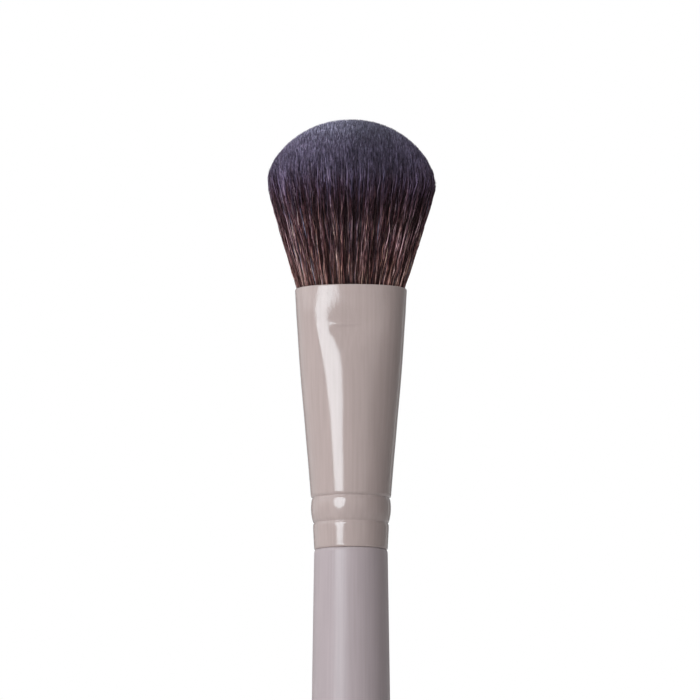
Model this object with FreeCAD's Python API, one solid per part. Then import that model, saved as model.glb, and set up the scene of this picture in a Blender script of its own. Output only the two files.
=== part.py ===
"""Blush brush: a domed hair head in a pressed metal ferrule on a turned wooden handle.

The brush stands upright on the flat of its butt. The origin is the middle of that flat, +Z runs along the
brush to the tips of the hair, and the broad side of the oval mouth faces -Y. All sizes are millimetres.
Heights on the ferrule and on the hair are counted from the seat of the ferrule on the handle.
"""

import math
import os

import FreeCAD, Part
from FreeCAD import Vector

# Handle, from the butt up to the seat of the ferrule
handle_length = 101.0
butt_flat_radius = 3.0
butt_radius = 4.4
butt_round = 3.2
belly_radius = 7.0
belly_height = 58.0
grip_length = 12.0
shoulder_radius = 6.57
shoulder_round = 0.3
shoulder_rise = 0.8

# Tenon of the handle, which the ferrule is glued and crimped on
tenon_clearance = 0.08
tenon_length = 20.0
tenon_chamfer = 0.6

# Ferrule: its wall, the lip that sits on the handle and the skirt over the lip
ferrule_length = 47.0
wall = 0.4
lip_radius = 6.47
lip_height = 0.7
lip_roll = 0.25
skirt_radius = 6.62
skirt_top_radius = 6.76

# Rolled crimps, the bead between them and the round neck over them
crimp_width = 0.7
crimp_depth = 0.24
lower_crimp_height = 4.7
crimp_spacing = 4.5
bead_foot_radius = 6.84
bead_top_radius = 7.06
bead_bulge = 0.2
neck_foot_radius = 7.17
neck_height = 12.5
neck_radius = 7.41

# Pressed body: the press flattens its front and back, most at the crease below the oval mouth
press_length = 6.6
crease_half_width = 9.66
crease_half_depth = 6.7
crease_flat_share = 0.22
mouth_half_width = 10.06
mouth_half_depth = 6.6
mouth_flat_share = 0.09
rim_break = 0.15

# Sections of the body between the neck and the crease
body_rise_shares = (0.27, 0.52, 0.77)
body_width_shares = (0.29, 0.565, 0.825)
body_depth_shares = (0.937, 0.876, 0.789)
body_flat_shares = (0, 0.015, 0.08)

# Root of the hair: the room over the tenon, the glue that pots the root, and the thread that ties it
tenon_room = 2.9
pot_floor = 1.6
root_radius = 5.9
root_length = 5.2
root_flare = 4.6
thread_radius = 0.35
thread_turns = 2
turn_gap = 0.45
thread_clearance = 0.05

# Hair head over the mouth: the flare, the shoulder and the dome
flare_height = 19.3
shoulder_half_width = 15.15
shoulder_half_depth = 11.6
dome_height = 11.4
flare_rise_shares = (0.375, 0.75, 0.9, 1.0)
flare_spread_shares = (0.415, 0.81, 0.945, 1.0)

# How far a cutting shape runs past what it cuts
overrun = 2.0

# Ovals have this many sides, which lie within 0.13 mm of the true curve, and the thread has six
oval_sides = 24
thread_sides = 6

# Straight stretches that stand for each round stretch of the handle, the bead and the dome
butt_steps = 3
taper_steps = 3
shoulder_steps = 2
bead_steps = 4
dome_angles = (18, 37, 58)

seat = handle_length
bore_radius = lip_radius - wall
tenon_radius = bore_radius - tenon_clearance
upper_crimp_height = lower_crimp_height + crimp_spacing
crease_height = ferrule_length - press_length
root_height = tenon_length + tenon_room + pot_floor
tip_height = seat + ferrule_length + flare_height + dome_height


def at(radius, height):
    """A point of an outline in the XZ plane."""
    return Vector(radius, 0, height)


def between(start, end, share):
    return start + (end - start) * share


def turned(points):
    """The solid that an outline in the XZ plane gives when it is turned about the brush's axis."""
    outline = Part.Face(Part.makePolygon(points + [points[0]]))
    return outline.revolve(Vector(0, 0, 0), Vector(0, 0, 1), 360)


def oval(half_width, half_depth, height, flat_share=0):
    """A level oval about the axis, wide along X, with its front and back pressed flatter by a share."""
    points = []
    for side in range(oval_sides + 1):
        turn = math.tau * side / oval_sides
        bulge = math.sin(turn) * (1 - flat_share * math.sin(turn) ** 2) / (1 - flat_share)
        points.append(Vector(half_width * math.cos(turn), half_depth * bulge, seat + height))
    return Part.makePolygon(points)


def round_slab(low, high):
    """A disc wider than the brush between two heights."""
    radius = shoulder_half_width + overrun
    return Part.makeCylinder(radius, high - low, Vector(0, 0, seat + low))


def one_solid(shape):
    """The shape with its seams merged, as its one solid."""
    merged = shape.removeSplitter()
    if len(merged.Solids) != 1:
        raise ValueError(f"{len(merged.Solids)} solids where one piece is meant")
    return merged.Solids[0]


# Handle

def butt_outline():
    """The rounded end of the handle, a quarter of an oval from its flat to its side."""
    points = []
    for step in range(butt_steps + 1):
        turn = math.radians(90 * step / butt_steps)
        radius = between(butt_flat_radius, butt_radius, math.sin(turn))
        points.append(at(radius, butt_round * (1 - math.cos(turn))))
    return points


def taper_outline():
    """The long taper from the butt, which swells gently into the straight grip."""
    points = []
    for step in range(1, taper_steps + 1):
        share = step / taper_steps
        radius = belly_radius - (belly_radius - butt_radius) * (1 - share) ** 2
        points.append(at(radius, between(butt_round, belly_height, share)))
    return points


def shoulder_outline():
    """The small rounded shoulder under the ferrule."""
    points = []
    for step in range(shoulder_steps + 1):
        turn = math.radians(90 * step / shoulder_steps)
        radius = shoulder_radius - shoulder_round * (1 - math.cos(turn))
        points.append(at(radius, seat - shoulder_rise * (1 - math.sin(turn))))
    return points


def make_handle():
    top = seat + tenon_length
    outline = [at(0, 0)] + butt_outline() + taper_outline()
    outline.append(at(belly_radius, belly_height + grip_length))
    outline += shoulder_outline()
    outline += [
        at(tenon_radius, seat),
        at(tenon_radius, top - tenon_chamfer),
        at(tenon_radius - tenon_chamfer, top),
        at(0, top),
    ]
    return one_solid(turned(outline))


# Ferrule

def bead_stations():
    """Height and radius along the bead, an even bulge between the two crimps."""
    low = lower_crimp_height + crimp_width / 2
    high = upper_crimp_height - crimp_width / 2
    stations = []
    for step in range(bead_steps + 1):
        share = step / bead_steps
        bulge = 4 * bead_bulge * share * (1 - share)
        stations.append((between(low, high, share), between(bead_foot_radius, bead_top_radius, share) + bulge))
    return stations


def foot_stations():
    """Height and radius up the round foot of the ferrule, from its lip to its neck."""
    return [
        (0, lip_radius),
        (lip_height - lip_roll, skirt_radius),
        (lower_crimp_height - crimp_width / 2, skirt_top_radius),
        (lower_crimp_height, skirt_top_radius - crimp_depth),
        *bead_stations(),
        (upper_crimp_height, bead_top_radius - crimp_depth),
        (upper_crimp_height + crimp_width / 2, neck_foot_radius),
        (neck_height, neck_radius),
    ]


def body_sections(inset):
    """The ovals of the pressed body, from the neck to the crease, drawn in by inset."""
    sections = [oval(neck_radius - inset, neck_radius - inset, neck_height)]
    shares = zip(body_rise_shares, body_width_shares, body_depth_shares, body_flat_shares)
    for rise, width, depth, flat in shares:
        half_width = between(neck_radius, crease_half_width, width)
        height = between(neck_height, crease_height, rise)
        sections.append(oval(half_width - inset, half_width * depth - inset, height, flat))
    half_width, half_depth = crease_half_width - inset, crease_half_depth - inset
    sections.append(oval(half_width, half_depth, crease_height, crease_flat_share))
    return sections


def mouth_oval(inset, height):
    return oval(mouth_half_width - inset, mouth_half_depth - inset, height, mouth_flat_share)


def filled_ferrule(inset):
    """The whole space that the ferrule takes, or the bore that it holds where inset is its wall."""
    foot = Part.makeLoft([oval(r - inset, r - inset, h) for h, r in foot_stations()], True, True)
    sections = body_sections(inset)
    body = Part.makeLoft(sections, True, False)
    mouth = Part.makeLoft([sections[-1], mouth_oval(inset, ferrule_length)], True, True)
    return foot.fuse([body, mouth])


def rim_cutter():
    """The ring that breaks the sharp outer edge of the mouth."""
    low = ferrule_length - rim_break
    rim = Part.makeLoft([mouth_oval(0, low), mouth_oval(rim_break, ferrule_length)], True, True)
    return round_slab(low, ferrule_length).cut(rim)


def make_ferrule():
    shell = filled_ferrule(0).cut(filled_ferrule(wall))
    return one_solid(shell.cut(rim_cutter()))


def make_tenon_glue(bore, handle):
    """The glue between the tenon and the ferrule, over the lip."""
    return one_solid(bore.common(round_slab(lip_height, tenon_length)).cut(handle))


# Hair

def root_space():
    """The tied root, its flare to the ferrule's wall and the full bore above it."""
    base = seat + root_height
    waist = base + root_length
    top = seat + ferrule_length
    wide = shoulder_half_width
    return turned([
        at(0, base),
        at(root_radius, base),
        at(root_radius, waist),
        at(mouth_half_width, waist + root_flare),
        at(wide, waist + root_flare),
        at(wide, top),
        at(0, top),
    ])


def head_sections():
    """The ovals of the hair over the mouth, up its flare to the shoulder and on up the dome."""
    foot_width = mouth_half_width - wall
    foot_depth = mouth_half_depth - wall
    sections = [mouth_oval(wall, ferrule_length)]
    for rise, spread in zip(flare_rise_shares, flare_spread_shares):
        half_width = between(foot_width, shoulder_half_width, spread)
        half_depth = between(foot_depth, shoulder_half_depth, spread)
        height = ferrule_length + flare_height * rise
        sections.append(oval(half_width, half_depth, height, mouth_flat_share * (1 - spread)))
    for angle in dome_angles:
        spread = math.cos(math.radians(angle))
        height = ferrule_length + flare_height + dome_height * math.sin(math.radians(angle))
        sections.append(oval(shoulder_half_width * spread, shoulder_half_depth * spread, height))
    return sections


def hair_head():
    """The hair over the mouth, with the crown that closes its dome."""
    sections = head_sections()
    crown = Part.makeLoft([sections[-1], Part.Vertex(0, 0, tip_height)], True, True)
    return Part.makeLoft(sections, True, True).fuse(crown)


def make_hair(bore):
    return one_solid(bore.common(root_space()).fuse(hair_head()))


# Root glue and tie

def thread_height():
    """From the underside of the first turn to the top of the last."""
    return thread_turns * (2 * thread_radius + turn_gap) + 2 * thread_radius


def thread_base():
    """The tie is halfway up the root."""
    return seat + root_height + (root_length - thread_height()) / 2


def make_root_glue(bore):
    """The plug that pots the root, with room for the thread round it."""
    low = root_height - pot_floor
    high = root_height + root_length + root_flare
    thread_room = Part.makeCylinder(
        root_radius + 2 * (thread_radius + thread_clearance),
        thread_height() + 2 * thread_clearance,
        Vector(0, 0, thread_base() - thread_clearance),
    )
    return one_solid(bore.common(round_slab(low, high)).cut([root_space(), thread_room]))


def make_root_tie():
    """One unbroken thread wound round the root."""
    pitch = 2 * thread_radius + turn_gap
    radius = root_radius + thread_clearance + thread_radius
    start = Vector(radius, 0, thread_base() + thread_radius)
    path = Part.makeHelix(pitch, thread_turns * pitch, radius)
    path.translate(Vector(0, 0, start.z))
    outward = Vector(1, 0, 0)
    upward = Vector(0, 2 * math.pi * radius, pitch).normalize().cross(outward)
    points = []
    for side in range(thread_sides + 1):
        turn = math.tau * side / thread_sides
        points.append(start + (outward * math.cos(turn) + upward * math.sin(turn)) * thread_radius)
    return one_solid(path.makePipeShell([Part.makePolygon(points)], True, True))


def main():
    os.makedirs("parts", exist_ok=True)
    bore = filled_ferrule(wall)
    handle = make_handle()
    pieces = {
        "handle": handle,
        "ferrule": make_ferrule(),
        "tenon_glue": make_tenon_glue(bore, handle),
        "root_glue": make_root_glue(bore),
        "root_tie": make_root_tie(),
        "hair_tuft": make_hair(bore),
    }
    for name, shape in pieces.items():
        if not shape.isValid():
            raise ValueError(f"{name} isn't a valid solid")
        shape.exportStep(f"parts/{name}.step")
        print(f"{name}: {shape.Volume:.1f} mm3")
    print(f"length {tip_height:.1f} mm")


main()
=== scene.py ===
"""Blush brush: a lacquered handle, a pressed ferrule and a domed head of fine hair, set on a pale floor.

Laid out as an add-on: each piece has its own operator, and the panel in the sidebar lists them in the order in
which the brush is made. +Z runs up the brush and -Y is its front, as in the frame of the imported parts. Blender's
lengths are metres; the tables of heights, widths and depths below are in mm.
"""

import math

import bpy
import numpy as np
from bpy.props import FloatProperty, FloatVectorProperty, IntProperty, PointerProperty
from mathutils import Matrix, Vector, kdtree


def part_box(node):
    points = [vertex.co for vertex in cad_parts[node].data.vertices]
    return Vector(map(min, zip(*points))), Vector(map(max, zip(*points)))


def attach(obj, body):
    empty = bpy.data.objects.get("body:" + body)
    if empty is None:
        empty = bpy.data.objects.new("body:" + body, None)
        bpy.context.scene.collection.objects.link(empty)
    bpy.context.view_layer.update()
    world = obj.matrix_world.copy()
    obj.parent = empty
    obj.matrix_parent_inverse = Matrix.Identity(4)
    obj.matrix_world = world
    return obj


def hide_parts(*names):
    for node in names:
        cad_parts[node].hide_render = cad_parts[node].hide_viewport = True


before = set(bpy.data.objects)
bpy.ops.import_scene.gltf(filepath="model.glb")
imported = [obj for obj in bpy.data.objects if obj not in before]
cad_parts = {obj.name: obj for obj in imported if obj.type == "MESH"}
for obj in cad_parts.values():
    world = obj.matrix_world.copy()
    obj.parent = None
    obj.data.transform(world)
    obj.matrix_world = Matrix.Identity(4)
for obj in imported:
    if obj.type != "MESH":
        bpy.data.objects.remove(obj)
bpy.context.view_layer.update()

bl_info = {
    "name": "Blush Brush",
    "version": (1, 0, 0),
    "blender": (4, 5, 0),
    "location": "View3D > Sidebar > Blush Brush",
    "description": "Makes a blush brush piece by piece, with its hair, and a studio round it",
    "category": "Add Mesh",
}

MM = 0.001
BODY = "root"

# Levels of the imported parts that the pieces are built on
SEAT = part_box("ferrule")[0].z
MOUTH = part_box("ferrule")[1].z
TENON_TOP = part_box("handle")[1].z

# The part of 0 to 1 that nearly all of a noise pattern lies in
NOISE_SPAN = (0.3, 0.7)


# Shapes

def smooth_steps(stations, spacing):
    """Fills in (height, size, ...) stations, in mm, at even steps on a curve that never overshoots them."""
    table = np.array(stations, float)
    height, sizes = table[:, 0], table[:, 1:]
    gaps = np.diff(height)
    slopes = np.diff(sizes, axis=0) / gaps[:, None]
    tangents = np.zeros_like(sizes)
    tangents[0], tangents[-1] = slopes[0], slopes[-1]
    for row in range(1, len(height) - 1):
        before, after = slopes[row - 1], slopes[row]
        same = before * after > 0
        both = np.where(same, before + after, 1.0)
        tangents[row] = np.where(same, 2 * before * after / both, 0.0)
    filled = []
    for row, gap in enumerate(gaps):
        steps = max(1, round(gap / spacing))
        for share in np.arange(steps) / steps:
            rise, fall = share * share * (3 - 2 * share), share * (1 - share)
            size = sizes[row] * (1 - rise) + sizes[row + 1] * rise
            size = size + gap * fall * (tangents[row] * (1 - share) - tangents[row + 1] * share)
            filled.append((height[row] + gap * share, *size))
    filled.append(tuple(table[-1]))
    return filled


def first_ring(height, radius, sides, filled=False):
    """Leaves the view in edit mode on a new level circle."""
    bpy.ops.object.select_all(action="DESELECT")
    fill = "NGON" if filled else "NOTHING"
    bpy.ops.mesh.primitive_circle_add(
        vertices=sides, radius=radius * MM, fill_type=fill, location=(0, 0, height * MM), enter_editmode=True)


def draw_up(stations, sides, filled=False):
    """Draws a tube through (height, half width, half depth) stations in mm by extruding a circle."""
    height, width, depth = stations[0]
    first_ring(height, width, sides, filled)
    bpy.ops.transform.resize(value=(1, depth / width, 1), center_override=(0, 0, height * MM))
    for next_height, next_width, next_depth in stations[1:]:
        rise = (next_height - height) * MM
        bpy.ops.mesh.extrude_region_move(TRANSFORM_OT_translate={"value": (0, 0, rise)})
        bpy.ops.transform.resize(
            value=(next_width / width, next_depth / depth, 1), center_override=(0, 0, next_height * MM))
        height, width, depth = next_height, next_width, next_depth


def finish_mesh(name, merge=0.0):
    """Merges the seams, points the faces outwards, leaves edit mode and puts the place in the mesh."""
    bpy.ops.mesh.select_all(action="SELECT")
    if merge:
        bpy.ops.mesh.remove_doubles(threshold=merge * MM)
    bpy.ops.mesh.normals_make_consistent(inside=False)
    bpy.ops.object.mode_set(mode="OBJECT")
    piece = bpy.context.object
    bpy.ops.object.transform_apply(location=True, rotation=True, scale=True)
    piece.name = piece.data.name = name
    return piece


def points_of(piece):
    flat = np.empty(3 * len(piece.data.vertices))
    piece.data.vertices.foreach_get("co", flat)
    return flat.reshape(-1, 3)


def set_points(piece, points):
    piece.data.vertices.foreach_set("co", points.ravel())
    piece.data.update()


def dress(piece, material, stands_for=()):
    """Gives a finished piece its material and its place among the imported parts."""
    piece.data.materials.clear()
    piece.data.materials.append(material)
    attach(piece, BODY)
    if stands_for:
        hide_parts(*stands_for)
    return piece


# Finishes

class Finish:
    """A material under work: its nodes, and short ways to add and join them."""

    def __init__(self, name):
        self.material = bpy.data.materials.new(name)
        self.material.use_nodes = True
        self.nodes = self.material.node_tree.nodes
        self.links = self.material.node_tree.links
        self.shader = self.nodes["Principled BSDF"]

    def set(self, **sockets):
        for name, value in sockets.items():
            self.shader.inputs[name.replace("_", " ").title().replace("Ior", "IOR")].default_value = value

    def add(self, kind, **values):
        node = self.nodes.new(kind)
        for name, value in values.items():
            setattr(node, name, value)
        return node

    def join(self, source, target):
        self.links.new(source, target)

    def place(self):
        """The point on the piece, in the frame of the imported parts."""
        return self.add("ShaderNodeTexCoord").outputs["Object"]

    def along(self, axis):
        """How far the point lies along X, Y or Z."""
        split = self.add("ShaderNodeSeparateXYZ")
        self.join(self.place(), split.inputs["Vector"])
        return split.outputs[axis]

    def stretched(self, scale):
        """The point with its distances scaled, so that a pattern on it is drawn out where a scale is small."""
        mapping = self.add("ShaderNodeMapping")
        mapping.inputs["Scale"].default_value = scale
        self.join(self.place(), mapping.inputs["Vector"])
        return mapping.outputs["Vector"]

    def noise(self, vector, scale, detail=3.0, roughness=0.5):
        node = self.add("ShaderNodeTexNoise")
        node.inputs["Scale"].default_value = scale
        node.inputs["Detail"].default_value = detail
        node.inputs["Roughness"].default_value = roughness
        self.join(vector, node.inputs["Vector"])
        return node.outputs["Fac"]

    def spread(self, value, low, high, from_low=0.0, from_high=1.0):
        """Maps value from its own range to low and high, and holds it there."""
        node = self.add("ShaderNodeMapRange")
        node.inputs["From Min"].default_value = from_low
        node.inputs["From Max"].default_value = from_high
        node.inputs["To Min"].default_value = low
        node.inputs["To Max"].default_value = high
        self.join(value, node.inputs["Value"])
        return node.outputs["Result"]

    def calc(self, operation, first, second):
        node = self.add("ShaderNodeMath", operation=operation)
        for value, socket in ((first, node.inputs[0]), (second, node.inputs[1])):
            if isinstance(value, (int, float)):
                socket.default_value = value
            else:
                self.join(value, socket)
        return node.outputs["Value"]

    def ramp(self, value, stops):
        node = self.add("ShaderNodeValToRGB")
        ramp = node.color_ramp
        while len(ramp.elements) < len(stops):
            ramp.elements.new(0.5)
        for element, (position, colour) in zip(ramp.elements, stops):
            element.position = position
            element.color = (*colour, 1)
        self.join(value, node.inputs["Fac"])
        return node.outputs["Color"]

    def blend(self, share, first, second, mode="MIX"):
        node = self.add("ShaderNodeMix", data_type="RGBA", blend_type=mode)
        for value, socket in ((share, node.inputs["Factor"]), (first, node.inputs["A"]), (second, node.inputs["B"])):
            if isinstance(value, (int, float)):
                socket.default_value = value
            elif isinstance(value, (tuple, list)):
                socket.default_value = (*value, 1)
            else:
                self.join(value, socket)
        return node.outputs["Result"]

    def bump(self, height, distance=1.0):
        """Raises the surface by height times distance, in metres."""
        node = self.add("ShaderNodeBump")
        node.inputs["Distance"].default_value = distance
        node.inputs["Strength"].default_value = 1.0
        self.join(height, node.inputs["Height"])
        self.join(node.outputs["Normal"], self.shader.inputs["Normal"])


def lacquer(name, settings, ripple, grain, peel=0.0):
    """Sprayed lacquer, whose colour clouds a little, with faint upright streaks, specks and rubbed patches.

    ripple, grain and peel are heights in metres: of the slow waves of the spray, of its fine upright grain, and of
    the pebbling, like orange peel, that sets in under the mouth of the ferrule.
    """
    finish = Finish(name)
    finish.set(specular_ior_level=settings.shine)
    colour = tuple(settings.colour)
    dark, light, speck = (tuple(share * part for part in colour) for share in (0.955, 1.03, 0.6))
    clouds = finish.noise(finish.stretched((1, 1, 0.35)), 90.0)
    shade = finish.blend(finish.spread(clouds, 0, 1, *NOISE_SPAN), dark, light)
    streaks = finish.noise(finish.stretched((1, 1, 0.02)), 2200.0, 2.0)
    shade = finish.blend(1.0, shade, finish.spread(streaks, 0.955, 1.045, *NOISE_SPAN), "MULTIPLY")
    specks = finish.noise(finish.place(), 2600.0, 2.0)
    shade = finish.blend(finish.spread(specks, 0, 0.05, 0.62, 0.75), shade, speck)
    finish.join(shade, finish.shader.inputs["Base Color"])
    rubbed = finish.noise(finish.stretched((1, 1, 0.2)), 220.0, 5.0, 0.6)
    smooth, matt = 0.85 * settings.roughness, 1.2 * settings.roughness
    finish.join(finish.spread(rubbed, smooth, matt, *NOISE_SPAN), finish.shader.inputs["Roughness"])
    waves = finish.noise(finish.place(), 700.0, 1.0)
    fine = finish.noise(finish.stretched((1, 1, 0.12)), 5200.0, 3.0)
    height = finish.calc("ADD", finish.calc("MULTIPLY", waves, ripple), finish.calc("MULTIPLY", fine, grain))
    if peel:
        pebbles = finish.noise(finish.place(), 2700.0, 2.0)
        grown = finish.spread(finish.along("Z"), 0, peel, MOUTH - 9 * MM, MOUTH - 3.5 * MM)
        height = finish.calc("ADD", height, finish.calc("MULTIPLY", pebbles, grown))
    finish.bump(height)
    return finish.material


# Settings

class HandleSettings(bpy.types.PropertyGroup):
    belly_radius: FloatProperty(
        name="Belly radius", description="Half the handle's thickness at its straight grip",
        default=7.0 * MM, unit="LENGTH", subtype="DISTANCE")
    butt_radius: FloatProperty(
        name="Butt radius", description="Half the handle's thickness over its rounded end",
        default=4.4 * MM, unit="LENGTH", subtype="DISTANCE")
    shoulder_radius: FloatProperty(
        name="Shoulder radius", description="Half the handle's thickness under the ferrule",
        default=6.57 * MM, unit="LENGTH", subtype="DISTANCE")
    colour: FloatVectorProperty(
        name="Lacquer", description="Colour of the satin lacquer", subtype="COLOR", size=3, min=0, max=1,
        default=(0.385, 0.31, 0.314))
    roughness: FloatProperty(
        name="Roughness", description="How satin the lacquer is", subtype="FACTOR", min=0, max=1, default=0.35)
    shine: FloatProperty(
        name="Shine", description="How much the lacquer mirrors, where 0.5 is usual", subtype="FACTOR",
        min=0, max=1, default=0.32)


class FerruleSettings(bpy.types.PropertyGroup):
    wall: FloatProperty(
        name="Wall", description="Thickness of the tube's wall", default=0.4 * MM, unit="LENGTH", subtype="DISTANCE")
    colour: FloatVectorProperty(
        name="Lacquer", description="Colour of the gloss lacquer", subtype="COLOR", size=3, min=0, max=1,
        default=(0.386, 0.294, 0.271))
    roughness: FloatProperty(
        name="Roughness", description="How blurred the gloss is", subtype="FACTOR", min=0, max=1, default=0.13)
    shine: FloatProperty(
        name="Shine", description="How much the lacquer mirrors, where 0.5 is usual", subtype="FACTOR",
        min=0, max=1, default=0.5)


class HairSettings(bpy.types.PropertyGroup):
    outer_count: IntProperty(
        name="Outer hairs", description="Full-length hairs in the outer layer", default=6200, min=100)
    inner_count: IntProperty(
        name="Inner hairs", description="Hairs whose tips fill the dome", default=26000, min=100)
    hair_radius: FloatProperty(
        name="Hair radius", description="Half a hair's thickness", default=0.055 * MM, precision=6,
        unit="LENGTH", subtype="DISTANCE")
    clump_size: IntProperty(
        name="Clump size", description="Hairs that cling together", default=4, min=1)
    clumping: FloatProperty(
        name="Clumping", description="How far the hairs of a clump draw together", subtype="FACTOR", min=0, max=1,
        default=0.4)
    bright_share: FloatProperty(
        name="Bright share", description="Share of the hairs that are paler than the rest", subtype="FACTOR",
        min=0, max=1, default=0.28)
    wave: FloatProperty(
        name="Wave", description="How far a clump of hair swings to each side", default=0.13 * MM, precision=6,
        unit="LENGTH", subtype="DISTANCE")
    weave: FloatProperty(
        name="Weave", description="How far a hair sinks under its neighbours, per length from the middle",
        subtype="FACTOR", min=0, max=0.2, default=0.025)
    dome_tilt: FloatProperty(
        name="Dome tilt", description="How much lower the right of the dome stands, per length across", default=0.01)
    seed: IntProperty(name="Seed", description="Which of the many heads of hair is grown", default=11, min=0)


class StudioSettings(bpy.types.PropertyGroup):
    key_level: FloatProperty(
        name="Key level", description="Brightness of the tall softbox, where white paper in full light is 1",
        default=8.4, min=0)
    side_level: FloatProperty(
        name="Side level", description="Brightness of the broad light on the left", default=0.87, min=0)
    top_level: FloatProperty(
        name="Top level", description="Brightness of the broad light overhead", default=0.8, min=0)
    room_level: FloatProperty(
        name="Room level", description="Brightness of the room all round", default=0.215, min=0)
    light_colour: FloatVectorProperty(
        name="Light colour", description="Colour of the softboxes", subtype="COLOR", size=3, min=0, max=2,
        default=(0.92, 1.0, 1.05))
    floor_colour: FloatVectorProperty(
        name="Floor", description="Colour of the floor", subtype="COLOR", size=3, min=0, max=1,
        default=(0.86, 0.86, 0.86))


# Handle

BUTT_FLAT_RADIUS, BUTT_RISE = 3.0, 3.2
GRIP_LOW, GRIP_HIGH = 58.0, 70.0
SHOULDER_EASE = 1.15
CORNER_STEP, CORNER_RISE = 0.3, 0.8
TENON_RADIUS, TENON_CHAMFER, TENON_EYE = 5.99, 0.6, 0.2


def handle_stations(settings):
    """Height and radius, in mm, up the turned handle: butt, long taper, grip, shoulder and tenon."""
    belly, butt, shoulder = (r / MM for r in (settings.belly_radius, settings.butt_radius, settings.shoulder_radius))
    seat, top = SEAT / MM, TENON_TOP / MM
    stations = []
    for turn in np.radians(np.linspace(0, 90, 9)):
        stations.append(
            (BUTT_RISE * (1 - math.cos(turn)), BUTT_FLAT_RADIUS + (butt - BUTT_FLAT_RADIUS) * math.sin(turn)))
    for share in np.linspace(0, 1, 19)[1:]:
        height = BUTT_RISE + (GRIP_LOW - BUTT_RISE) * share
        stations.append((height, belly - (belly - butt) * (1 - share) ** 2))
    stations.append((GRIP_HIGH, belly))
    for share in np.linspace(0, 1, 11)[1:]:
        height = GRIP_HIGH + (seat - CORNER_RISE - GRIP_HIGH) * share
        stations.append((height, belly + (shoulder - belly) * share ** SHOULDER_EASE))
    for turn in np.radians(np.linspace(0, 90, 6)[1:]):
        stations.append(
            (seat - CORNER_RISE * (1 - math.sin(turn)), shoulder - CORNER_STEP * (1 - math.cos(turn))))
    stations += [
        (seat, TENON_RADIUS), (top - TENON_CHAMFER, TENON_RADIUS), (top, TENON_RADIUS - TENON_CHAMFER),
        (top, TENON_EYE)]
    return [(height, radius, radius) for height, radius in stations]


class BRUSH_OT_handle(bpy.types.Operator):
    """Turns the handle, from its butt to the top of its tenon, and lacquers it"""
    bl_idname = "brush.handle"
    bl_label = "Handle"

    def execute(self, context):
        settings = context.scene.brush_handle
        draw_up(handle_stations(settings), 96, filled=True)
        bpy.ops.mesh.edge_face_add()
        handle = finish_mesh("turned_handle")
        bpy.ops.object.shade_smooth_by_angle(angle=math.radians(40))
        finish = lacquer("satin_lacquer", settings, ripple=4.0e-6, grain=4.0e-7)
        dress(handle, finish, ["handle"])
        return {"FINISHED"}


# Ferrule

# Height and radius up the outside of the round foot: lip and lower crimp, bead, upper crimp
FOOT = [
    (101.0, 6.42), (101.05, 6.5), (101.2, 6.57), (101.38, 6.587), (101.56, 6.588), (101.72, 6.598), (101.95, 6.613),
    (103.6, 6.7), (105.1, 6.765), (105.42, 6.75), (105.58, 6.66), (105.7, 6.62), (105.82, 6.66), (105.98, 6.77),
]
BEAD = [(106.2, 6.84), (106.9, 7.0), (107.6, 7.1), (108.3, 7.145), (109.0, 7.13), (109.7, 7.06), (109.95, 7.0)]
NECK = [(110.1, 6.9), (110.2, 6.87), (110.3, 6.91), (110.45, 7.11), (110.7, 7.19)]
# Height, half width and half depth up the body, which goes from round to oval
BODY_SECTIONS = [
    (110.7, 7.19, 7.19), (111.7, 7.26, 7.23), (113.5, 7.41, 7.3), (117.1, 7.71, 7.42), (120.7, 8.04, 7.54),
    (124.3, 8.34, 7.64), (127.9, 8.67, 7.72), (131.55, 8.99, 7.8), (135.2, 9.27, 7.95), (138.8, 9.51, 8.25),
    (141.2, 9.66, 8.6), (143.5, 9.82, 8.75), (145.3, 9.91, 8.3), (147.7, 10.05, 7.36),
]
# How far each step of the rim's rounding rises above the last section, and how far it steps in
RIM_STEPS = [(0.13, 0.03), (0.23, 0.09)]
RIM_TOP_OUTER, RIM_TOP_INNER, RIM_INNER_RISE = 0.19, 0.1, 0.05
# The even bore ends at this height; under it come heights, and how far each steps in from the lip's outer edge
BORE_FOOT = 102.5
LIP_INSIDE = [(101.4, 0.3), (101.0, 0.2)]
# Height, and the share of the half depth that the press takes off the middle of the front and the back
PRESSED_FLAT = [
    (0, 0), (124.0, 0.0), (131.5, 0.03), (135.2, 0.08), (138.8, 0.155), (141.2, 0.22), (143.5, 0.235), (145.3, 0.19),
    (148.0, 0.09),
]
# Soft marks of the press: middle across, half width, height, half height and depth, which is negative for a rise
PRESS_MARKS = [
    (-0.6, 5.0, 139.9, 4.8, 0.18),
    (2.4, 7.0, 144.9, 4.4, -0.18),
    (-0.9, 3.2, 140.85, 0.6, -0.21),
    (-1.4, 3.0, 139.6, 1.1, 0.08),
    (-8.8, 3.2, 148.0, 6.0, 0.1),
]


def press_mouth(ferrule):
    """Flattens the front and back of the mouth, most at the crease, and leaves the press's marks on both."""
    points = points_of(ferrule)
    heights = [height for height, _, _ in BODY_SECTIONS]
    half_width = np.interp(points[:, 2] / MM, heights, [width for _, width, _ in BODY_SECTIONS]) * MM
    flat = np.interp(points[:, 2] / MM, *zip(*smooth_steps(PRESSED_FLAT, 0.4)))
    share = np.clip(points[:, 0] / half_width, -1, 1)
    points[:, 1] *= 1 - flat * (1 - share ** 2)
    side = np.sign(points[:, 1])
    across, up = -side * points[:, 0] / MM, points[:, 2] / MM
    for middle, width, level, height, depth in PRESS_MARKS:
        points[:, 1] -= side * depth * MM * bell((across - middle) / width) * bell((up - level) / height)
    set_points(ferrule, points)


def bell(reach):
    """1 in the middle, falling softly to 0 at a reach of 1."""
    return np.clip(1 - reach ** 2, 0, None) ** 2


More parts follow.
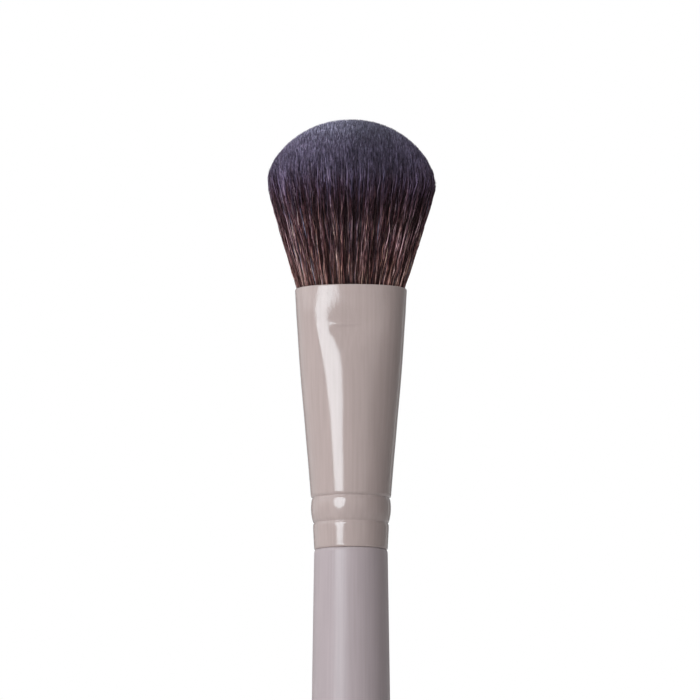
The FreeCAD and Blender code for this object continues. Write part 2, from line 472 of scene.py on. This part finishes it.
def ferrule_stations(wall):
    """Up the outside of the ferrule from its lip, over the rim and down its bore, in mm."""
    outside = smooth_steps(FOOT + BEAD + NECK, 0.25)
    outside = [(height, radius, radius) for height, radius in outside]
    outside += smooth_steps(BODY_SECTIONS, 0.2)[1:]
    height, width, depth = outside[-1]
    rim = [(height + rise, width - step, depth - step) for rise, step in RIM_STEPS]
    rim += [
        (MOUTH / MM, width - RIM_TOP_OUTER, depth - RIM_TOP_OUTER),
        (MOUTH / MM, width - wall + RIM_TOP_INNER, depth - wall + RIM_TOP_INNER),
        (height + RIM_INNER_RISE, width - wall, depth - wall),
    ]
    bore = [(h, w - wall, d - wall) for h, w, d in outside[-3::-12] if h > BORE_FOOT]
    low = outside[0]
    lip = [(h, low[1] - step, low[2] - step) for h, step in LIP_INSIDE]
    return outside + rim + bore + lip + [low]


class BRUSH_OT_ferrule(bpy.types.Operator):
    """Draws the tube of the ferrule with its lip, crimps, bead and pressed oval mouth, and lacquers it"""
    bl_idname = "brush.ferrule"
    bl_label = "Ferrule"

    def execute(self, context):
        settings = context.scene.brush_ferrule
        draw_up(ferrule_stations(settings.wall / MM), 160)
        ferrule = finish_mesh("pressed_ferrule", merge=0.004)
        press_mouth(ferrule)
        bpy.ops.object.shade_smooth()
        finish = lacquer("gloss_lacquer", settings, ripple=2.5e-6, grain=1.0e-7, peel=3.4e-5)
        dress(ferrule, finish, ["ferrule"])
        return {"FINISHED"}


# Hair

# Height and half width of the head of hair, from its root in the ferrule to its widest part and on
HEAD_WIDTH = [
    (120.0, 7.2), (146.0, 9.3), (148.0, 9.6), (149.0, 10.03), (150.8, 10.64), (152.95, 11.27), (155.1, 11.95),
    (157.3, 12.61), (159.5, 13.29), (161.7, 13.91), (163.9, 14.54), (166.1, 15.08), (167.3, 15.24), (180.0, 15.24),
]
WIDEST = 170.0
# Half width and half depth of the bundle in the mouth, and how much deeper it grows for each mm of half width
BUNDLE_WIDTH, BUNDLE_DEPTH, DEPTH_PER_WIDTH = 9.58, 6.2, 0.975
# Height, and how far the head leans to the right there
HEAD_LEAN = [
    (148.0, -0.03), (153.0, 0.03), (157.0, 0.07), (161.0, 0.09), (164.0, 0.14), (167.0, 0.18), (169.0, 0.1),
    (171.0, 0.06), (174.0, 0.03), (177.0, -0.02), (179.0, -0.03),
]
# Share of the way out from the middle, and the height of the dome there
DOME = [
    (0.0, 178.7), (0.119, 178.63), (0.221, 178.43), (0.297, 178.17), (0.354, 177.91), (0.42, 177.56), (0.5, 177.0),
    (0.562, 176.48), (0.623, 175.88), (0.684, 175.18), (0.743, 174.4), (0.788, 173.75), (0.849, 172.65),
    (0.905, 171.55), (0.938, 170.5), (0.974, 169.4), (0.991, 168.3), (1.01, 167.0),
]
SHOULDER = 15.1

# The dark core, painted shade inside the head: its share of the head's size, its heights up to the shoulder, and its
# rings under the dome
CORE_SHARE = 0.88
CORE_FOOT, CORE_SHOULDER, CORE_STEP = 140.0, 168.0, 1.5
CORE_RINGS = (0.88, 0.84, 0.78, 0.7, 0.6, 0.48, 0.34, 0.2, 0.1)
CORE_DEPTH = 2.6


def head_size(height):
    """Half width and half depth of the head of hair, in mm, at heights in mm."""
    width = np.interp(height, *zip(*HEAD_WIDTH))
    return width, BUNDLE_DEPTH + DEPTH_PER_WIDTH * (width - BUNDLE_WIDTH)


def dome_height(share):
    return np.interp(share, *zip(*DOME))


def core_stations():
    """The dark mass of hair under the outer hairs."""
    stations = []
    for height in np.arange(CORE_FOOT, CORE_SHOULDER, CORE_STEP):
        width, depth = head_size(height)
        stations.append((height, CORE_SHARE * width, CORE_SHARE * depth))
    wide, deep = head_size(WIDEST)
    for share in CORE_RINGS:
        stations.append((dome_height(share) - CORE_DEPTH, share * wide, share * deep))
    return stations


def clumps_of(dice, spots, size):
    """The middle of each hair's clump, and the number of that clump."""
    scale = np.array(head_size(WIDEST))
    middles = spots[dice.choice(len(spots), max(1, len(spots) // size), replace=False)]
    tree = kdtree.KDTree(len(middles))
    for number, (x, y) in enumerate(middles * scale):
        tree.insert((x, y, 0), number)
    tree.balance()
    clump = np.array([tree.find((x, y, 0))[1] for x, y in spots * scale])
    return middles[clump], clump


def scatter(dice, count, inner, outer):
    """Evenly scattered spots on a disc of radius 1, between two radii."""
    reach = np.sqrt(dice.uniform(inner ** 2, outer ** 2, count))
    turn = dice.uniform(0, math.tau, count)
    return np.stack([reach * np.cos(turn), reach * np.sin(turn)], axis=1)


# Lengths, in mm, over which a clump swings, a hair swings by itself, and a hair sinks and rises
CLUMP_SWING, HAIR_SWING, SINK_LENGTH = (4.0, 9.0), (3.0, 8.0), (5.0, 11.0)
SWING_SHARE = 0.8
# How far clumps, hairs and strays lean sideways at LEAN_RISE over the mouth, and how many hairs are strays
CLUMP_LEAN, HAIR_LEAN, STRAY_LEAN, LEAN_RISE, STRAY_SHARE = 0.6, 0.3, 1.8, 22.0, 0.06
SHORTER = 0.25
# Hairs start this deep in the mouth, and move freely from FREE_RISE over it; in it they keep the share HELD
ROOT_DEPTH, FREE_RISE, HELD = 1.5, 7.0, 0.12
# Powers: of the spacing of a hair's rings, and of how far out a clumped hair still keeps its own place
RING_SPACING, KEPT_OUT = 0.9, 0.8
# Spread of the brightness of clumps and hairs, the middle of the hairs', and what a bright hair gains
CLUMP_TONE, HAIR_TONE, MIDDLE_TONE, BRIGHT_GAIN, TONE_LIMIT = 0.25, 0.6, -0.38, 2.1, 3.0
SAME_KIND_SHARE = 0.1


def comb(dice, spots, length, rings, settings):
    """The middle lines of hairs that stand on spots, in mm, with their brightness, kind and depth in the head.

    length is how much of each hair below its tip is grown, or None for all of it from inside the mouth.
    """
    middles, clump = clumps_of(dice, spots, settings.clump_size)
    count, clumps = len(spots), clump.max() + 1
    reach = np.linalg.norm(spots, axis=1)
    around = np.stack([-spots[:, 1], spots[:, 0]], axis=1) / reach[:, None]
    pull = settings.clumping * dice.uniform(0.3, 1.2, count)
    swing_length, swing_start = dice.uniform(*CLUMP_SWING, clumps)[clump], dice.uniform(0, math.tau, clumps)[clump]
    own_length, own_start = dice.uniform(*HAIR_SWING, count), dice.uniform(0, math.tau, count)
    sunk_length, sunk_start = dice.uniform(*SINK_LENGTH, count), dice.uniform(0, math.tau, count)
    lean = dice.normal(0, CLUMP_LEAN, clumps)[clump] + dice.normal(0, HAIR_LEAN, count)
    lean = np.where(dice.random(count) < STRAY_SHARE, dice.normal(0, STRAY_LEAN, count), lean)
    short = dice.exponential(SHORTER, count)

    def swing_at(heights, length, start):
        return np.sin(math.tau * heights / length[:, None] + start[:, None])

    def laid(high):
        """The lines of the hairs up to their tips at the heights high, and their depths."""
        low = high - length if length else np.full(count, MOUTH / MM - ROOT_DEPTH)
        heights = low[:, None] + (high - low)[:, None] * np.linspace(0, 1, rings) ** RING_SPACING
        above = heights - MOUTH / MM
        grown = np.clip(above / FREE_RISE, HELD, 1.0)
        place = middles[:, None] + (spots - middles)[:, None] * (1 - pull[:, None] * grown)[..., None]
        pushed_out = (reach[:, None] / np.maximum(np.linalg.norm(place, axis=2), 1e-6)) ** KEPT_OUT
        sunk = 0.5 + 0.5 * swing_at(heights, sunk_length, sunk_start)
        place *= (pushed_out * (1 - settings.weave * sunk))[..., None]
        swing = (
            SWING_SHARE * swing_at(heights, swing_length, swing_start)
            + SWING_SHARE * swing_at(heights, own_length, own_start))
        sideways = grown * settings.wave / MM * swing + lean[:, None] * np.clip(above / LEAN_RISE, 0, 1)
        across = place * np.stack(head_size(heights), axis=2) + around[:, None] * sideways[..., None]
        across[..., 0] += np.interp(heights, *zip(*HEAD_LEAN))
        return np.concatenate([across, heights[..., None]], axis=2), 1 - np.linalg.norm(place, axis=2)

    # A tip moves sideways as its hair is laid, so the tips are brought to the dome twice
    high = dome_height(reach) - short
    for _ in range(2):
        lines, depth = laid(high)
        tip = lines[:, -1, :2] / np.stack(head_size(high), axis=1)
        off_middle = np.linalg.norm(tip, axis=1)
        high = dome_height(off_middle) - settings.dome_tilt * SHOULDER * tip[:, 0] * off_middle ** 4 - short
    lines, depth = laid(high)
    bright = dice.random(count) < settings.bright_share
    tone = dice.normal(0, CLUMP_TONE, clumps)[clump] + dice.normal(MIDDLE_TONE, HAIR_TONE, count)
    shade = np.minimum(np.exp(tone) * np.where(bright, BRIGHT_GAIN, 1), TONE_LIMIT)
    kind = np.where(dice.random(count) < SAME_KIND_SHARE, dice.random(clumps)[clump], dice.random(count))
    return lines, {"shade": shade, "kind": kind, "depth": depth}


SIDES = 3
TIP_TAPER, TIP_LENGTH, TIP_FORWARD = 0.45, 0.25, 0.9


def hair_pattern(rings):
    """The faces of one hair, three-sided and closed at both ends, and their corners in its cell of the map."""
    def across(side):
        return 0.1 + 0.8 * side / SIDES

    def along(ring):
        return 0.15 + 0.7 * ring / (rings - 1)

    faces, spread = [], []
    for ring in range(rings - 1):
        start, above = ring * SIDES, (ring + 1) * SIDES
        low, high = along(ring), along(ring + 1)
        for side in range(SIDES):
            after = (side + 1) % SIDES
            left, right = across(side), across(side + 1)
            faces.append((start + side, start + after, above + after, above + side))
            spread += [(left, low), (right, low), (right, high), (left, high)]
    top, tip = (rings - 1) * SIDES, rings * SIDES
    for side in range(SIDES):
        left, right = across(side), across(side + 1)
        faces.append((top + side, top + (side + 1) % SIDES, tip))
        spread += [(left, 0.85), (right, 0.85), ((left + right) / 2, 0.93)]
    faces.append((2, 1, 0))
    spread += [(0.1, 0.05), (0.9, 0.05), (0.5, 0.1)]
    return faces, spread


def weave_mesh(name, lines, thickness, values, dice):
    """Three-sided closed tubes round the lines, each with its own cell of the map and its own values."""
    count, rings = lines.shape[:2]
    turn = dice.uniform(0, math.tau, count)[:, None, None] + math.tau * np.arange(SIDES) / SIDES
    taper = np.ones(rings)
    taper[-1] = TIP_TAPER
    around = thickness[:, None, None] * taper[:, None] * np.ones((count, rings, SIDES))
    points = np.repeat(lines[:, :, None, :], SIDES, axis=2)
    points[..., 0] += around * np.cos(turn)
    points[..., 1] += around * np.sin(turn)
    last = lines[:, -1] - lines[:, -2]
    tips = lines[:, -1] + TIP_FORWARD * last * (TIP_LENGTH / np.linalg.norm(last, axis=1))[:, None]
    points = np.concatenate([points.reshape(count, rings * SIDES, 3), tips[:, None]], axis=1) * MM

    faces, spread = hair_pattern(rings)
    totals = np.array([len(face) for face in faces])
    corners = np.array([corner for face in faces for corner in face])
    per_hair = rings * SIDES + 1
    every_corner = (corners + per_hair * np.arange(count)[:, None]).ravel()
    every_total = np.tile(totals, count)
    mesh = bpy.data.meshes.new(name)
    mesh.vertices.add(count * per_hair)
    mesh.vertices.foreach_set("co", points.ravel())
    mesh.loops.add(len(every_corner))
    mesh.loops.foreach_set("vertex_index", every_corner)
    mesh.polygons.add(len(every_total))
    mesh.polygons.foreach_set("loop_start", np.concatenate([[0], np.cumsum(every_total)[:-1]]))
    mesh.polygons.foreach_set("loop_total", every_total)
    mesh.polygons.foreach_set("use_smooth", np.ones(len(every_total), bool))
    mesh.update(calc_edges=True)

    cells = math.ceil(math.sqrt(count))
    corner_of = np.stack([np.arange(count) % cells, np.arange(count) // cells], axis=1)
    spots = (corner_of[:, None] + np.array(spread)) / cells
    mesh.uv_layers.new(name="OFBake").data.foreach_set("uv", spots.ravel())
    for label, value in values.items():
        rows = np.broadcast_to(value.reshape(count, -1), (count, rings))
        every = np.concatenate([np.repeat(rows, SIDES, axis=1), rows[:, -1:]], axis=1)
        mesh.attributes.new(label, "FLOAT", "POINT").data.foreach_set("value", every.ravel())
    hair = bpy.data.objects.new(name, mesh)
    bpy.context.scene.collection.objects.link(hair)
    return hair


# Colours of the kinds of hair, up from the mouth at 0 to the top of the dome; the paler tips are partly the hair's
# own colour and partly painted light from above
HAIR_COLOURS = {
    "body": [
        (0.0, (0.2, 0.094, 0.087)), (0.1, (0.158, 0.07, 0.065)), (0.31, (0.155, 0.068, 0.078)),
        (0.42, (0.125, 0.058, 0.068)), (0.52, (0.082, 0.038, 0.052)), (0.6, (0.066, 0.037, 0.061)),
        (0.68, (0.081, 0.058, 0.094)), (0.77, (0.125, 0.1, 0.154)), (0.86, (0.139, 0.111, 0.167)),
        (0.95, (0.253, 0.235, 0.314))],
    "tan": [
        (0.0, (0.36, 0.19, 0.15)), (0.31, (0.34, 0.18, 0.155)), (0.45, (0.26, 0.14, 0.14)),
        (0.56, (0.15, 0.09, 0.12)), (0.8, (0.155, 0.126, 0.187)), (0.95, (0.253, 0.24, 0.315))],
    "plum": [
        (0.0, (0.1, 0.06, 0.07)), (0.4, (0.06, 0.04, 0.06)), (0.6, (0.05, 0.036, 0.066)),
        (0.8, (0.136, 0.116, 0.178)), (0.95, (0.234, 0.22, 0.306))],
}
# A hair's kind is a number from 0 to 1: from the first of these up it is tan, and below the second it is plum
TAN_FROM, PLUM_TO = 0.84, 0.09
# Painted light: how bright the hair is made from the left of the head at 0 to its right, low down and up in the dome
PAINTED_SIDE_LIGHT = {
    "flank": [(0.0, 1.0), (0.09, 1.3), (0.25, 1.5), (0.5, 1.05), (0.6, 1.1), (0.7, 1.75), (0.85, 1.2), (1.0, 1.3)],
    "crown": [(0.0, 0.93), (0.24, 0.9), (0.44, 0.76), (0.58, 0.5), (0.72, 0.52), (0.85, 0.76), (1.0, 1.1)],
}
# The heights that the colour bands run between, and how far they dip for each length to the front and back
BANDS = (147 * MM, 180 * MM)
BAND_DIP = 0.17
# Painted shade: the inside of the head, on the same heights, and the colour that deeper hairs darken to
CORE_SHADE_COLOURS = [(0.0, (0.016, 0.006, 0.006)), (0.5, (0.007, 0.003, 0.004)), (1.0, (0.017, 0.014, 0.024))]
DEEP_SHADE = (0.007, 0.002, 0.003)


def band_height(finish):
    """The height in the head, in metres, raised towards the front and back so that the colour bands dip there."""
    dip = finish.calc("MULTIPLY", finish.calc("ABSOLUTE", finish.along("Y"), 0), BAND_DIP)
    return finish.calc("ADD", finish.along("Z"), dip)


def hair_finish():
    """Fine soft hair: brown at the root, nearly black in its middle and slate blue at the tip."""
    if "fine_hair" in bpy.data.materials:
        return bpy.data.materials["fine_hair"]
    finish = Finish("fine_hair")
    shade, kind, depth = (
        finish.add("ShaderNodeAttribute", attribute_name=name).outputs["Fac"] for name in ("shade", "kind", "depth"))

    # Each hair is of one kind, and its bands lie a little higher or lower than its neighbours'
    height = finish.calc("ADD", band_height(finish), finish.spread(shade, -1.2 * MM, 1.2 * MM, 0.5, 1.5))
    rise = finish.spread(height, 0, 1, *BANDS)
    body, tan, plum = (finish.ramp(rise, HAIR_COLOURS[name]) for name in ("body", "tan", "plum"))
    base = finish.blend(finish.calc("GREATER_THAN", kind, TAN_FROM), body, tan)
    base = finish.blend(finish.calc("LESS_THAN", kind, PLUM_TO), base, plum)

    # It is mottled along its length, and low in the head pale hairs are yellower and dark ones redder
    mottle = finish.noise(finish.stretched((1, 1, 0.22)), 2400.0, 2.0)
    base = finish.blend(1.0, base, finish.spread(mottle, 0.45, 1.55, *NOISE_SPAN), "MULTIPLY")
    tint = finish.blend(finish.spread(shade, 0, 1, 0.4, 2.0), (1.0, 0.84, 0.84), (0.9, 1.22, 1.14))
    base = finish.blend(finish.spread(rise, 1, 0, 0.45, 0.68), base, tint, "MULTIPLY")

    # Its own shade counts in full below, and about half as much in the dome
    even = finish.spread(rise, 1, 0.48, 0.42, 0.78)
    shade = finish.calc("ADD", finish.calc("MULTIPLY", shade, even), finish.calc("SUBTRACT", 1, even))
    base = finish.blend(1.0, base, shade, "MULTIPLY")

    # Painted light: the head is made paler on its left; a ramp stops at 1, so it holds half of each level, which is
    # raised again
    across = finish.spread(finish.along("X"), 0, 1, -15 * MM, 15 * MM)
    flank, crown = (
        finish.ramp(across, [(at, (level / 2,) * 3) for at, level in PAINTED_SIDE_LIGHT[name]]) for name in ("flank", "crown"))
    pale = finish.blend(finish.spread(rise, 0, 1, 0.38, 0.72), flank, crown)
    base = finish.blend(1.0, base, finish.blend(1.0, pale, (3, 3, 3), "MULTIPLY"), "MULTIPLY")

    # Painted shade: a hair that lies deeper among the others is darker, except in the dome
    sunk = finish.calc("MULTIPLY", finish.spread(depth, 0, 1, 0.002, 0.026), finish.spread(rise, 0.9, 0, 0.52, 0.68))
    base = finish.blend(sunk, base, DEEP_SHADE)
    finish.join(base, finish.shader.inputs["Base Color"])
    rough = finish.noise(finish.place(), 3000.0, 1.0)
    finish.join(finish.spread(rough, 0.34, 0.5), finish.shader.inputs["Roughness"])
    finish.set(specular_ior_level=0.09)
    return finish.material


def core_shade_finish():
    """Painted shade of the inside of the hair: brown below and blue-black above, in fine upright streaks."""
    finish = Finish("hair_core")
    shade = finish.ramp(finish.spread(band_height(finish), 0, 1, *BANDS), CORE_SHADE_COLOURS)
    streaks = finish.noise(finish.stretched((1, 1, 0.06)), 4200.0, 2.0)
    shade = finish.blend(1.0, shade, finish.spread(streaks, 0.4, 1.6, *NOISE_SPAN), "MULTIPLY")
    finish.join(shade, finish.shader.inputs["Base Color"])
    finish.bump(streaks, 0.1 * MM)
    finish.set(roughness=0.8, specular_ior_level=0.04)
    return finish.material


def plait_pieces(name, dice, lines, values, settings, pieces):
    """Weaves the hairs into a few pieces, a sector of the head each; the brightest hairs are a little thicker."""
    turn = np.arctan2(lines[:, 0, 1], lines[:, 0, 0])
    order = np.argsort(turn)
    radius = settings.hair_radius / MM * dice.uniform(0.8, 1.1, len(lines)) * np.where(values["shade"] > 1.6, 1.2, 1)
    for number, part in enumerate(np.array_split(order, pieces)):
        own = {label: value[part] for label, value in values.items()}
        piece = weave_mesh(f"{name}_{number + 1}", lines[part], radius[part], own, dice)
        dress(piece, hair_finish())


# Between which shares of the way out the hairs stand, and in how many rings and pieces they are made
OUTER_REACH, OUTER_RINGS, OUTER_PIECES = (0.86, 1.0), 13, 4
INNER_REACH, INNER_RINGS, INNER_PIECES = (0.003, 0.87), 5, 5
# How much of an inner hair is grown below its tip
INNER_LENGTH = 6.5


class BRUSH_OT_hair_core(bpy.types.Operator):
    """Fills the head with a dark mass of painted shade, which shows between the outer hairs"""
    bl_idname = "brush.hair_core"
    bl_label = "Hair core"

    def execute(self, context):
        draw_up(core_stations(), 64, filled=True)
        bpy.ops.mesh.edge_face_add()
        core = finish_mesh("hair_core")
        bpy.ops.object.shade_smooth_by_angle(angle=math.radians(50))
        dress(core, core_shade_finish(), ["hair_tuft"])
        return {"FINISHED"}


class BRUSH_OT_outer_hair(bpy.types.Operator):
    """Grows the full-length hairs that fan out of the ferrule round the head"""
    bl_idname = "brush.outer_hair"
    bl_label = "Outer hair"

    def execute(self, context):
        settings = context.scene.brush_hair
        dice = np.random.default_rng(settings.seed)
        spots = scatter(dice, settings.outer_count, *OUTER_REACH)
        lines, values = comb(dice, spots, None, OUTER_RINGS, settings)
        plait_pieces("outer_hair", dice, lines, values, settings, OUTER_PIECES)
        return {"FINISHED"}


class BRUSH_OT_inner_hair(bpy.types.Operator):
    """Grows the ends of the inner hairs, whose tips make the dome"""
    bl_idname = "brush.inner_hair"
    bl_label = "Inner hair"

    def execute(self, context):
        settings = context.scene.brush_hair
        dice = np.random.default_rng(settings.seed + 1)
        spots = scatter(dice, settings.inner_count, *INNER_REACH)
        lines, values = comb(dice, spots, INNER_LENGTH, INNER_RINGS, settings)
        plait_pieces("inner_hair", dice, lines, values, settings, INNER_PIECES)
        return {"FINISHED"}


# Inner parts

# Node, slot, colour, roughness and scale of the grain
INNER_PARTS = [
    ("root_glue", "glue", (0.42, 0.27, 0.1), 0.22, 900.0),
    ("tenon_glue", "glue", (0.62, 0.56, 0.42), 0.35, 600.0),
    ("root_tie", "thread", (0.72, 0.66, 0.56), 0.8, 3600.0),
]


def finish_inner(node, slot, colour, roughness, grain):
    """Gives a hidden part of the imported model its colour, with a fine grain."""
    finish = Finish(f"{node}_finish")
    specks = finish.noise(finish.stretched((1, 1, 2.5)), grain, 4.0)
    shade = finish.blend(finish.spread(specks, 0, 1, 0.35, 0.65), tuple(0.8 * part for part in colour), colour)
    finish.join(shade, finish.shader.inputs["Base Color"])
    finish.join(finish.spread(specks, roughness, roughness + 0.1), finish.shader.inputs["Roughness"])
    finish.bump(specks, 0.04 * MM)
    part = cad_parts[node]
    part.data.materials.clear()
    part.data.materials.append(finish.material)


class BRUSH_OT_inner_parts(bpy.types.Operator):
    """Finishes the glue and the thread that hold the hair and the handle inside the ferrule"""
    bl_idname = "brush.inner_parts"
    bl_label = "Inner parts"

    def execute(self, context):
        for part in INNER_PARTS:
            finish_inner(*part)
        return {"FINISHED"}


# Studio

# Name, azimuth and elevation in degrees, distance and size in metres, outline, and the setting of its level
SOFTBOXES = [
    ("key_softbox", -34.0, 13.0, 1.2, (0.74, 0.76), "ELLIPSE", "key_level"),
    ("side_softbox", -82.0, 34.0, 1.4, (1.3, 1.3), "RECTANGLE", "side_level"),
    ("top_softbox", -20.0, 80.0, 1.3, (1.2, 1.2), "RECTANGLE", "top_level"),
]
# Name, first and last azimuth in degrees, the light that it throws, and how bright it shows in a gloss
DARK_CARDS = [
    ("right_card", 45.0, 138.0, 0.085, 0.38),
    ("back_card", 142.0, 181.0, 0.4, 0.3),
    ("left_card", -181.0, -140.0, 0.4, 0.3),
]
# The radius and foot of the ring of cards in mm, and its height in metres
CARD_RADIUS, CARD_FOOT, CARD_HEIGHT = 2000, -400, 2.2
LIGHTS_AIM = Vector((0, 0, 0.13))
FLOOR_RADIUS, FLOOR_SHOWN = 4.0, 0.6
# The camera stands near the floor, level with the butt, and is tilted up at the ferrule
CAMERA_PLACE, CAMERA_TILT, CAMERA_LENS = (-0.00017, -0.9, 0.016), 7.656, 260.29


class BRUSH_OT_studio(bpy.types.Operator):
    """Sets the floor, the lights, the white room and the camera round the brush"""
    bl_idname = "brush.studio"
    bl_label = "Studio"

    def execute(self, context):
        settings = context.scene.brush_studio
        make_floor(settings)
        make_room(settings)
        for name, azimuth, elevation, distance, size, outline, level in SOFTBOXES:
            light = soft_light(name, azimuth, elevation, distance, size, outline, getattr(settings, level))
            light.data.color = settings.light_colour
        for card in DARK_CARDS:
            dark_card(*card)
        make_camera()
        context.scene.view_settings.view_transform = "Standard"
        return {"FINISHED"}


def make_floor(settings):
    """Pale paper, which the camera and reflections see partly as plain colour, so that it stays even."""
    bpy.ops.object.select_all(action="DESELECT")
    bpy.ops.mesh.primitive_circle_add(vertices=96, radius=FLOOR_RADIUS, fill_type="NGON", location=(0, 0, 0))
    floor = bpy.context.object
    floor.name = floor.data.name = "studio_floor"
    finish = Finish("floor_paper")
    finish.set(roughness=0.9, specular_ior_level=0.1)
    tone = finish.noise(finish.place(), 3.0, 2.0)
    colour = tuple(settings.floor_colour)
    shade = finish.blend(tone, tuple(0.985 * part for part in colour), colour)
    finish.join(shade, finish.shader.inputs["Base Color"])
    paper = finish.add("ShaderNodeEmission")
    finish.join(shade, paper.inputs["Color"])
    mixed = finish.add("ShaderNodeMixShader")
    finish.join(seen_rays(finish.nodes, finish.links, 0, FLOOR_SHOWN), mixed.inputs[0])
    finish.join(finish.shader.outputs[0], mixed.inputs[1])
    finish.join(paper.outputs[0], mixed.inputs[2])
    finish.join(mixed.outputs[0], finish.nodes["Material Output"].inputs["Surface"])
    floor.data.materials.append(finish.material)


def seen_rays(nodes, links, thrown, shown):
    """Gives shown where the camera, or a reflection, sees a surface, and thrown where it only throws light."""
    rays = nodes.new("ShaderNodeLightPath")
    seen = rays.outputs["Is Camera Ray"]
    for ray in ("Is Glossy Ray", "Is Transmission Ray"):
        either = nodes.new("ShaderNodeMath")
        either.operation = "MAXIMUM"
        links.new(seen, either.inputs[0])
        links.new(rays.outputs[ray], either.inputs[1])
        seen = either.outputs["Value"]
    level = nodes.new("ShaderNodeMapRange")
    level.inputs["To Min"].default_value = thrown
    level.inputs["To Max"].default_value = shown
    links.new(seen, level.inputs["Value"])
    return level.outputs["Result"]


def make_room(settings):
    """An even room that is plain white where the camera or a reflection sees it."""
    world = bpy.data.worlds.new("white_room")
    bpy.context.scene.world = world
    world.use_nodes = True
    nodes, links = world.node_tree.nodes, world.node_tree.links
    back = nodes["Background"]
    back.inputs["Color"].default_value = (1, 1, 1, 1)
    links.new(seen_rays(nodes, links, settings.room_level, 1.0), back.inputs["Strength"])


def dark_card(name, start, end, thrown, shown):
    """A tall dark card beside the brush, which shows in its gloss and gives it crisp sides."""
    first_ring(CARD_FOOT, CARD_RADIUS, 180)
    bpy.ops.mesh.extrude_region_move(TRANSFORM_OT_translate={"value": (0, 0, CARD_HEIGHT)})
    card = finish_mesh(name)
    bpy.ops.object.mode_set(mode="EDIT")
    bpy.ops.mesh.select_all(action="DESELECT")
    bpy.ops.object.mode_set(mode="OBJECT")
    for point in card.data.vertices:
        point.select = not start <= math.degrees(math.atan2(point.co.x, -point.co.y)) <= end
    bpy.ops.object.mode_set(mode="EDIT")
    bpy.ops.mesh.delete(type="VERT")
    bpy.ops.object.mode_set(mode="OBJECT")
    finish = Finish("dark_card")
    finish.set(base_color=(0.1, 0.1, 0.1, 1), emission_color=(1, 1, 1, 1), roughness=1.0, specular_ior_level=0.0)
    finish.join(seen_rays(finish.nodes, finish.links, thrown, shown), finish.shader.inputs["Emission Strength"])
    card.data.materials.append(finish.material)
    card.visible_camera = card.visible_transmission = card.visible_shadow = False


def soft_light(name, azimuth, elevation, distance, size, outline, level):
    """A soft light seen from the brush at azimuth, right of the camera, and elevation; level 1 is white."""
    data = bpy.data.lights.new(name, "AREA")
    data.shape = outline
    data.size, data.size_y = size
    area = size[0] * size[1] * (math.pi / 4 if outline == "ELLIPSE" else 1.0)
    data.energy = level * math.pi * area
    light = bpy.data.objects.new(name, data)
    bpy.context.scene.collection.objects.link(light)
    turn, tilt = math.radians(azimuth), math.radians(elevation)
    away = Vector((math.sin(turn) * math.cos(tilt), -math.cos(turn) * math.cos(tilt), math.sin(tilt)))
    light.location = LIGHTS_AIM + away * distance
    light.rotation_mode = "QUATERNION"
    light.rotation_quaternion = away.to_track_quat("Z", "Y")
    return light


def make_camera():
    """The camera at the photograph's viewing angle."""
    data = bpy.data.cameras.new("camera")
    data.sensor_width, data.lens = 36.0, CAMERA_LENS
    data.clip_start, data.clip_end = 0.05, 20.0
    camera = bpy.data.objects.new("camera", data)
    bpy.context.scene.collection.objects.link(camera)
    camera.location = CAMERA_PLACE
    camera.rotation_euler = (math.radians(90 + CAMERA_TILT), 0, 0)
    bpy.context.scene.camera = camera


# Panel and registration

class BRUSH_PT_panel(bpy.types.Panel):
    """The pieces of the brush, in the order in which it is made"""
    bl_idname = "BRUSH_PT_panel"
    bl_label = "Blush Brush"
    bl_space_type = "VIEW_3D"
    bl_region_type = "UI"
    bl_category = "Blush Brush"

    def draw(self, context):
        for group, operators in STEPS:
            box = self.layout.box()
            settings = getattr(context.scene, group)
            for name in settings.bl_rna.properties.keys():
                if name not in ("rna_type", "name"):
                    box.prop(settings, name)
            for operator in operators:
                box.operator(operator.bl_idname)


SETTINGS = {
    "brush_handle": HandleSettings,
    "brush_ferrule": FerruleSettings,
    "brush_hair": HairSettings,
    "brush_studio": StudioSettings,
}
STEPS = [
    ("brush_handle", [BRUSH_OT_handle]),
    ("brush_ferrule", [BRUSH_OT_ferrule]),
    ("brush_hair", [BRUSH_OT_hair_core, BRUSH_OT_outer_hair, BRUSH_OT_inner_hair, BRUSH_OT_inner_parts]),
    ("brush_studio", [BRUSH_OT_studio]),
]
OPERATORS = [operator for _, operators in STEPS for operator in operators]


def register():
    for group in [*SETTINGS.values(), *OPERATORS, BRUSH_PT_panel]:
        bpy.utils.register_class(group)
    for name, group in SETTINGS.items():
        setattr(bpy.types.Scene, name, PointerProperty(type=group))


def unregister():
    for name in SETTINGS:
        delattr(bpy.types.Scene, name)
    for group in [BRUSH_PT_panel, *reversed(OPERATORS), *reversed(list(SETTINGS.values()))]:
        bpy.utils.unregister_class(group)


def main():
    register()
    for operator in OPERATORS:
        group, name = operator.bl_idname.split(".")
        getattr(getattr(bpy.ops, group), name)()
    bpy.context.view_layer.update()


if __name__ == "__main__":
    main()
